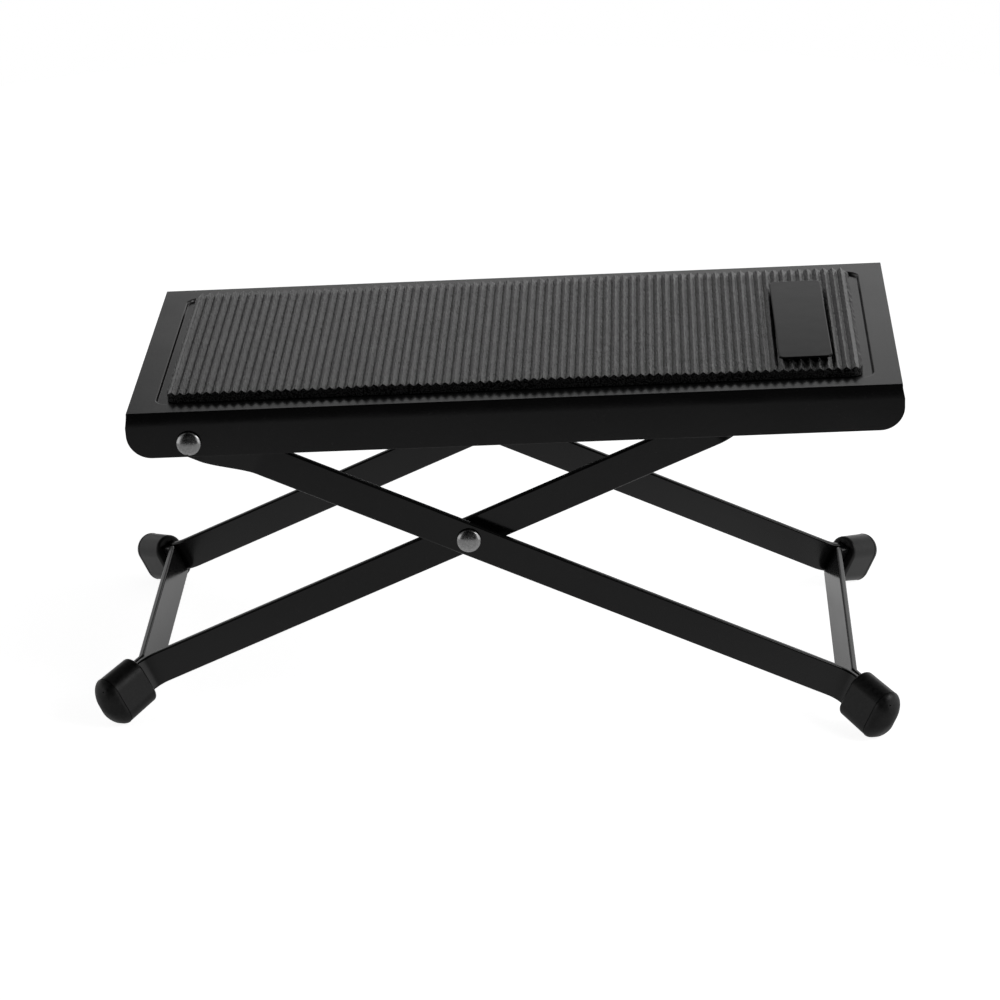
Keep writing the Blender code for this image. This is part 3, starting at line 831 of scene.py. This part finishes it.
def cap_stations():
    """Along the cap from its mouth: (place, scale of the section, how far it is drawn in)."""
    stations = []
    for run, rise in arc(0, 0, cap_mouth_radius, 2 * quarter, quarter, quarter / mouth_steps):
        stations.append((cap_mouth_radius + run, 1, cap_mouth_radius - rise))
    seam = cap_length - cap_dome_length - dome_trim
    stations.append((seam - cap_seam_width, 1, 0))
    for share in cap_seam_floor_shares:
        stations.append((seam - cap_seam_width * share, 1, cap_seam_depth))
    for index in range(dome_steps):
        share = math.sin(quarter * index / dome_steps)
        closing = (1 - share**dome_power_share) ** (1 / dome_power_share)
        stations.append((seam + share * cap_dome_length, closing, -cap_seam_lip * (1 - share)))
    return stations


def cap_mesh():
    """A cap with its mouth at x = 0 and its domed end towards +X."""
    rings = []
    for x, scale, inset in cap_stations():
        flare = 1 + cap_flare_share * x / cap_length
        rings.append([(x, across, up) for across, up in cap_section(scale * flare, inset)])
    return skin(rings)


def slot_mesh():
    """The pocket for the bar's two layers."""
    across = bar_thickness + ear_layer_gap / 2 + touch_gap
    upright = bar_half + touch_gap
    outline = [(across, upright), (-across, upright), (-across, -upright), (across, -upright)]
    return along_x(outline, -cut_overrun, cap_length - cap_end_wall)


def slit_mesh():
    """The pinched slit that runs on above and below the pocket's mouth."""
    reach = bar_half + cap_slit_reach
    width = cap_slit_half_width
    outline = [(width, 0), (0, reach), (-width, 0), (0, -reach)]
    return along_x(outline, -cut_overrun, cap_slit_depth)


def flatten_on_floor(cap):
    """Cuts the cap level with the floor that it stands on."""
    mesh = bmesh.new()
    mesh.from_mesh(cap.data)
    geometry = mesh.verts[:] + mesh.edges[:] + mesh.faces[:]
    cut = bmesh.ops.bisect_plane(
        mesh, geom=geometry, plane_co=(0, 0, 0), plane_no=(0, 0, -1), clear_outer=True
    )
    rim = [item for item in cut["geom_cut"] if isinstance(item, bmesh.types.BMEdge)]
    bmesh.ops.edgeloop_fill(mesh, edges=rim)
    bmesh.ops.recalc_face_normals(mesh, faces=mesh.faces)
    mesh.to_mesh(cap.data)
    mesh.free()


def foot_caps(prefix, place, sizes, front_side):
    """The two caps of a frame. front_side is the frame's own Y direction to the front."""
    for side, name in ((front_side, "front"), (-front_side, "back")):
        reach_x = sizes.foot_arm + cap_start * math.cos(ear_splay)
        reach_y = sizes.half_width + cap_start * math.sin(ear_splay)
        mouth = place @ Matrix.Translation((reach_x, side * reach_y, 0))
        mouth = mouth @ Matrix.Rotation(side * ear_splay, 4, "Z")
        cap = link(f"rubber_cap_{prefix}_{name}", cap_mesh(), mouth)
        flatten_on_floor(cap)
        combine(cap, slot_mesh(), mouth)
        combine(cap, slit_mesh(), mouth)
        dress(cap, f"foot_cap_{prefix}_{name}")


# Finishes. A roughness or a range of noise is given as (low end, high end)

Grain = namedtuple("Grain", "size detail roughness", defaults=(2, 0.5))
middle_noise = (0.35, 0.65)
white = (1, 1, 1, 1)

paint_dark = (0.0042, 0.0042, 0.0044)
paint_dusty = (0.03, 0.03, 0.03)
paint_roughness = (0.17, 0.23)
paint_marks = Grain(30 * mm, 4, 0.6)
dust_specks = Grain(0.7 * mm, 1)
dust_noise = (0.7, 0.85)
paint_peel = Grain(1.6 * mm)
paint_peel_depth = 0.008 * mm
fine_peel = Grain(0.4 * mm, 1)
fine_peel_depth = 0.003 * mm

# Mat rubber colours: the pale end paints glints along the grain's strokes
rubber_dark = (0.001, 0.001, 0.001)
rubber_glint_pale = (0.04, 0.04, 0.0402)
rubber_roughness = (0.2, 0.27)
rubber_ior = 1.38
rubber_patches = Grain(9 * mm, 3, 0.6)
rubber_strokes = Grain(0.5 * mm, 1)
stroke_noise = (0.4, 0.6)
stroke_stretch = (1, 0.1, 1)
stroke_turn = (0, 0, -7 * degree)
stroke_depth = 0.17 * mm

cap_dark = (0.004, 0.004, 0.004)
cap_dusty = (0.014, 0.014, 0.014)
cap_roughness = (0.32, 0.42)
cap_ior = 1.38
cap_mottle = Grain(1.6 * mm, 4, 0.65)
cap_pits = Grain(0.6 * mm, 3)
cap_pit_depth = 0.02 * mm

badge_dark = (0.004, 0.004, 0.0041)
badge_rubbed = (0.006, 0.006, 0.0061)
badge_roughness = (0.09, 0.12)
badge_ior = 1.22
badge_rub = Grain(1.2 * mm, 4, 0.7)
badge_rub_stretch = (1, 0.15, 1)
badge_waves = Grain(7 * mm)
badge_wave_depth = 0.012 * mm

steel_dark = (0.42, 0.42, 0.42)
steel_pale = (0.58, 0.58, 0.58)
steel_roughness = (0.17, 0.28)
steel_mottle = Grain(0.7 * mm, 4, 0.65)
steel_pits = Grain(0.5 * mm)
steel_pit_depth = 0.01 * mm


def start_material(name, colour, roughness):
    made = bpy.data.materials.new(name)
    made.use_nodes = True
    shader = made.node_tree.nodes["Principled BSDF"]
    shader.inputs["Base Color"].default_value = (*colour, 1)
    shader.inputs["Roughness"].default_value = roughness
    return made, made.node_tree, shader


def add_node(tree, kind, inputs, **settings):
    """A node with its settings, its inputs given as values or as other nodes' outputs."""
    made = tree.nodes.new(kind)
    for name, value in settings.items():
        setattr(made, name, value)
    for name, value in inputs.items():
        if isinstance(value, bpy.types.NodeSocket):
            tree.links.new(value, made.inputs[name])
        else:
            made.inputs[name].default_value = value
    return made


def on_piece(tree, stretch=(1, 1, 1), turn=(0, 0, 0)):
    """The place on the piece in metres, as it stands at rest, turned and then stretched."""
    place = add_node(tree, "ShaderNodeTexCoord", {}).outputs["Object"]
    turned_place = add_node(tree, "ShaderNodeMapping", {"Vector": place, "Rotation": turn})
    inputs = {"Vector": turned_place.outputs[0], "Scale": stretch}
    return add_node(tree, "ShaderNodeMapping", inputs).outputs[0]


def noise_of(tree, place, grain):
    """Noise whose features are about as large as the grain's size."""
    inputs = {"Vector": place, "Scale": 1 / grain.size}
    inputs.update({"Detail": grain.detail, "Roughness": grain.roughness})
    return add_node(tree, "ShaderNodeTexNoise", inputs).outputs["Fac"]


def spread(tree, value, low, high, within=middle_noise):
    """Maps the value's range within, by default the noise's middle, to low and high."""
    inputs = {"Value": value, "From Min": within[0], "From Max": within[1]}
    inputs.update({"To Min": low, "To Max": high})
    return add_node(tree, "ShaderNodeMapRange", inputs).outputs[0]


def blend_colours(tree, share, low, high):
    ramp = add_node(tree, "ShaderNodeValToRGB", {"Fac": share})
    ramp.color_ramp.elements[0].color = (*low, 1)
    ramp.color_ramp.elements[1].color = (*high, 1)
    return ramp.outputs["Color"]


def bumped(tree, shader, height, depth, under=None):
    """Bumps the surface by height, from 0 to 1, times depth."""
    inputs = {"Height": height, "Distance": depth}
    if under is not None:
        inputs["Normal"] = under
    bump = add_node(tree, "ShaderNodeBump", inputs)
    tree.links.new(bump.outputs[0], shader.inputs["Normal"])
    return bump.outputs[0]


def satin_paint():
    """Satin black powder paint: fine orange peel, handling marks and a little dust."""
    made, tree, shader = start_material("satin_black_paint", paint_dark, paint_roughness[0])
    place = on_piece(tree)
    marks = noise_of(tree, place, paint_marks)
    dust = spread(tree, noise_of(tree, place, dust_specks), 0, 1, dust_noise)
    colour = blend_colours(tree, dust, paint_dark, paint_dusty)
    tree.links.new(colour, shader.inputs["Base Color"])
    tree.links.new(spread(tree, marks, *paint_roughness), shader.inputs["Roughness"])
    peel = bumped(tree, shader, noise_of(tree, place, paint_peel), paint_peel_depth)
    bumped(tree, shader, noise_of(tree, place, fine_peel), fine_peel_depth, peel)
    return made


def mat_rubber():
    """Black rubber sheet with a grain of short bumped strokes that run along the ribs; the strokes'
    pale colour is painted glint.
    """
    made, tree, shader = start_material("mat_rubber", rubber_dark, rubber_roughness[0])
    shader.inputs["IOR"].default_value = rubber_ior
    strokes = noise_of(tree, on_piece(tree, stroke_stretch, stroke_turn), rubber_strokes)
    patches = noise_of(tree, on_piece(tree), rubber_patches)
    # Pale strokes in the colour are painted glints; the same strokes bump the surface as its grain
    glint_paleness = spread(tree, strokes, 0, 1, stroke_noise)
    colour = blend_colours(tree, glint_paleness, rubber_dark, rubber_glint_pale)
    tree.links.new(colour, shader.inputs["Base Color"])
    tree.links.new(spread(tree, patches, *rubber_roughness), shader.inputs["Roughness"])
    bumped(tree, shader, strokes, stroke_depth)
    return made


def cap_rubber():
    """Moulded rubber: soft sheen, fine mottle and dusty patches."""
    made, tree, shader = start_material("cap_rubber", cap_dark, cap_roughness[0])
    shader.inputs["IOR"].default_value = cap_ior
    place = on_piece(tree)
    mottle = noise_of(tree, place, cap_mottle)
    colour = blend_colours(tree, spread(tree, mottle, 0, 1), cap_dark, cap_dusty)
    tree.links.new(colour, shader.inputs["Base Color"])
    tree.links.new(spread(tree, mottle, *cap_roughness), shader.inputs["Roughness"])
    bumped(tree, shader, noise_of(tree, place, cap_pits), cap_pit_depth)
    return made


def badge_gloss():
    """Smooth black plate, a little wavy, with faint rubbed marks."""
    made, tree, shader = start_material("badge_black", badge_dark, badge_roughness[0])
    shader.inputs["IOR"].default_value = badge_ior
    rub = noise_of(tree, on_piece(tree, badge_rub_stretch), badge_rub)
    colour = blend_colours(tree, spread(tree, rub, 0, 1), badge_dark, badge_rubbed)
    tree.links.new(colour, shader.inputs["Base Color"])
    tree.links.new(spread(tree, rub, *badge_roughness), shader.inputs["Roughness"])
    bumped(tree, shader, noise_of(tree, on_piece(tree), badge_waves), badge_wave_depth)
    return made


def plated_steel():
    """Grey plating with a fine mottle."""
    made, tree, shader = start_material("plated_steel", steel_dark, steel_roughness[0])
    shader.inputs["Metallic"].default_value = 1
    place = on_piece(tree)
    mottle = noise_of(tree, place, steel_mottle)
    colour = blend_colours(tree, spread(tree, mottle, 0, 1), steel_dark, steel_pale)
    tree.links.new(colour, shader.inputs["Base Color"])
    tree.links.new(spread(tree, mottle, *steel_roughness), shader.inputs["Roughness"])
    bumped(tree, shader, noise_of(tree, place, steel_pits), steel_pit_depth)
    return made


finishes = {
    "painted_steel": satin_paint(),
    "mat_rubber": mat_rubber(),
    "cap_rubber": cap_rubber(),
    "badge_black": badge_gloss(),
    "bare_steel": plated_steel(),
}


# Studio: a white table, one soft light, and a room that looks white and lights the object

# Lengths are in metres. A range along Y runs from the front to the back of the table
table_radius = 0.62
table_shift = 0.2
table_segments = 96
table_colour = (0.7, 0.7, 0.7, 1)
seen_glow = 0.9
front_glow = 0.13
back_glow = 0.75
glow_reach = (-0.15, 0.25)
fade_reach = (-0.42, -0.3)

# The room's light: stops of (part of the direction along Z or X, strength)
room_heights = ((0, 0.75), (0.335, 0.75), (0.385, 0.24), (1, 0.1))
room_sides = (
    (-0.5, 1),
    (-0.38, 0.75),
    (-0.28, 0.1),
    (-0.21, 0.15),
    (-0.15, 0.95),
    (0.06, 1.38),
    (0.26, 1.1),
    (0.5, 1.2),
)

# The share of it left in front, how far it runs round the sides, and where it fades along Y
room_front_share = 0.03
room_round_sides = 1.6
room_front_reach = (-0.2, 0.35)

side_light_bearing = 100 * degree
side_light_height = 35 * degree
side_light_distance = 0.9
side_light_size = (0.5, 0.4)
side_light_radiance = 2.8
light_target = Vector((0, 0, 0.08))


def product(tree, one, other):
    return add_node(tree, "ShaderNodeMath", {0: one, 1: other}, operation="MULTIPLY").outputs[0]


def table_glow(tree):
    """The table's own light: even to the camera, and on the object strong behind, weak in front."""
    place = add_node(tree, "ShaderNodeTexCoord", {}).outputs["Object"]
    to_back = add_node(tree, "ShaderNodeSeparateXYZ", {"Vector": place}).outputs["Y"]
    behind = spread(tree, to_back, front_glow, back_glow, glow_reach)
    unseen = product(tree, behind, spread(tree, to_back, 0, 1, fade_reach))
    seen = add_node(tree, "ShaderNodeLightPath", {}).outputs["Is Camera Ray"]
    strength = add_node(tree, "ShaderNodeMix", {"Factor": seen, "A": unseen, "B": seen_glow})
    return add_node(tree, "ShaderNodeEmission", {"Strength": strength.outputs["Result"]})


def table_finish():
    """White, with a light of its own, and clear where it is seen from below."""
    made = bpy.data.materials.new("white_table")
    made.use_nodes = True
    tree = made.node_tree
    tree.nodes.clear()
    glow = table_glow(tree)
    plain = add_node(tree, "ShaderNodeBsdfDiffuse", {"Color": table_colour})
    lit = add_node(tree, "ShaderNodeAddShader", {0: plain.outputs[0], 1: glow.outputs[0]})
    clear = add_node(tree, "ShaderNodeBsdfTransparent", {})
    below = add_node(tree, "ShaderNodeNewGeometry", {}).outputs["Backfacing"]
    mixed = {0: below, 1: lit.outputs[0], 2: clear.outputs[0]}
    shown = add_node(tree, "ShaderNodeMixShader", mixed)
    add_node(tree, "ShaderNodeOutputMaterial", {"Surface": shown.outputs[0]})
    return made


def white_table():
    mesh = bmesh.new()
    bmesh.ops.create_circle(mesh, cap_ends=True, segments=table_segments, radius=table_radius)
    table = link("table", mesh, Matrix.Translation((0, table_shift, 0)))
    table.data.materials.append(table_finish())


def light_curve(tree, value, stops):
    """The light's strength at the value, on straight lines between stops."""
    low = stops[0][0]
    high = stops[-1][0]
    share = spread(tree, value, 0, 1, (low, high))
    curve = add_node(tree, "ShaderNodeValToRGB", {"Fac": share})
    made = curve.color_ramp.elements
    while len(made) < len(stops):
        made.new(1)
    for element, (place, strength) in zip(made, stops):
        element.position = (place - low) / (high - low)
        element.color = (strength, strength, strength, 1)
    return curve.outputs["Color"]


def room():
    """White where the camera sees it. Its light comes from low down, from the back and the sides.

    It has a dark gap to the left, and is nearly dark in front.
    """
    world = bpy.data.worlds.new("room")
    bpy.context.scene.world = world
    world.use_nodes = True
    tree = world.node_tree
    direction = add_node(tree, "ShaderNodeTexCoord", {}).outputs["Generated"]
    axes = add_node(tree, "ShaderNodeSeparateXYZ", {"Vector": direction}).outputs
    heights = light_curve(tree, axes["Z"], room_heights)
    sides = light_curve(tree, axes["X"], room_sides)
    aside = product(tree, axes["X"], axes["X"])
    turn = {0: aside, 1: room_round_sides, 2: axes["Y"]}
    round_sides = add_node(tree, "ShaderNodeMath", turn, operation="MULTIPLY_ADD").outputs[0]
    depth = spread(tree, round_sides, room_front_share, 1, room_front_reach)
    light = product(tree, product(tree, sides, depth), heights)
    seen = add_node(tree, "ShaderNodeLightPath", {}).outputs["Is Camera Ray"]
    strength = add_node(tree, "ShaderNodeMix", {"Factor": seen, "A": light, "B": 1})
    tree.links.new(strength.outputs["Result"], tree.nodes["Background"].inputs["Strength"])
    tree.nodes["Background"].inputs["Color"].default_value = white


def side_light():
    """A large soft light, turned to the object. Its bearing runs from +Y towards +X."""
    data = bpy.data.lights.new("side_light", "AREA")
    data.shape = "RECTANGLE"
    data.size, data.size_y = side_light_size
    data.energy = side_light_radiance * math.pi * data.size * data.size_y
    light = bpy.data.objects.new("side_light", data)
    bpy.context.scene.collection.objects.link(light)
    level = math.cos(side_light_height)
    across = level * math.sin(side_light_bearing)
    along = level * math.cos(side_light_bearing)
    direction = Vector((across, along, math.sin(side_light_height)))
    light.location = light_target + direction * side_light_distance
    light.rotation_euler = (-direction).to_track_quat("-Z", "Y").to_euler()
    light.visible_camera = False


def photograph_camera():
    data = bpy.data.cameras.new("camera")
    data.lens = camera_lens
    data.sensor_width = camera_sensor
    camera = bpy.data.objects.new("camera", data)
    bpy.context.scene.collection.objects.link(camera)
    camera.location = camera_place
    camera.rotation_euler = camera_turn
    bpy.context.scene.camera = camera
    bpy.context.scene.view_settings.view_transform = "Standard"


platform_shell()
rubber_mat()
badge_plate()
height_rails()
leg_frames()
locking_rod()
rivets_and_washers()
foot_caps("right", outer_crossing_frame, outer_sizes, -1)
foot_caps("left", inner_frame, inner_sizes, 1)
white_table()
room()
side_light()
photograph_camera()
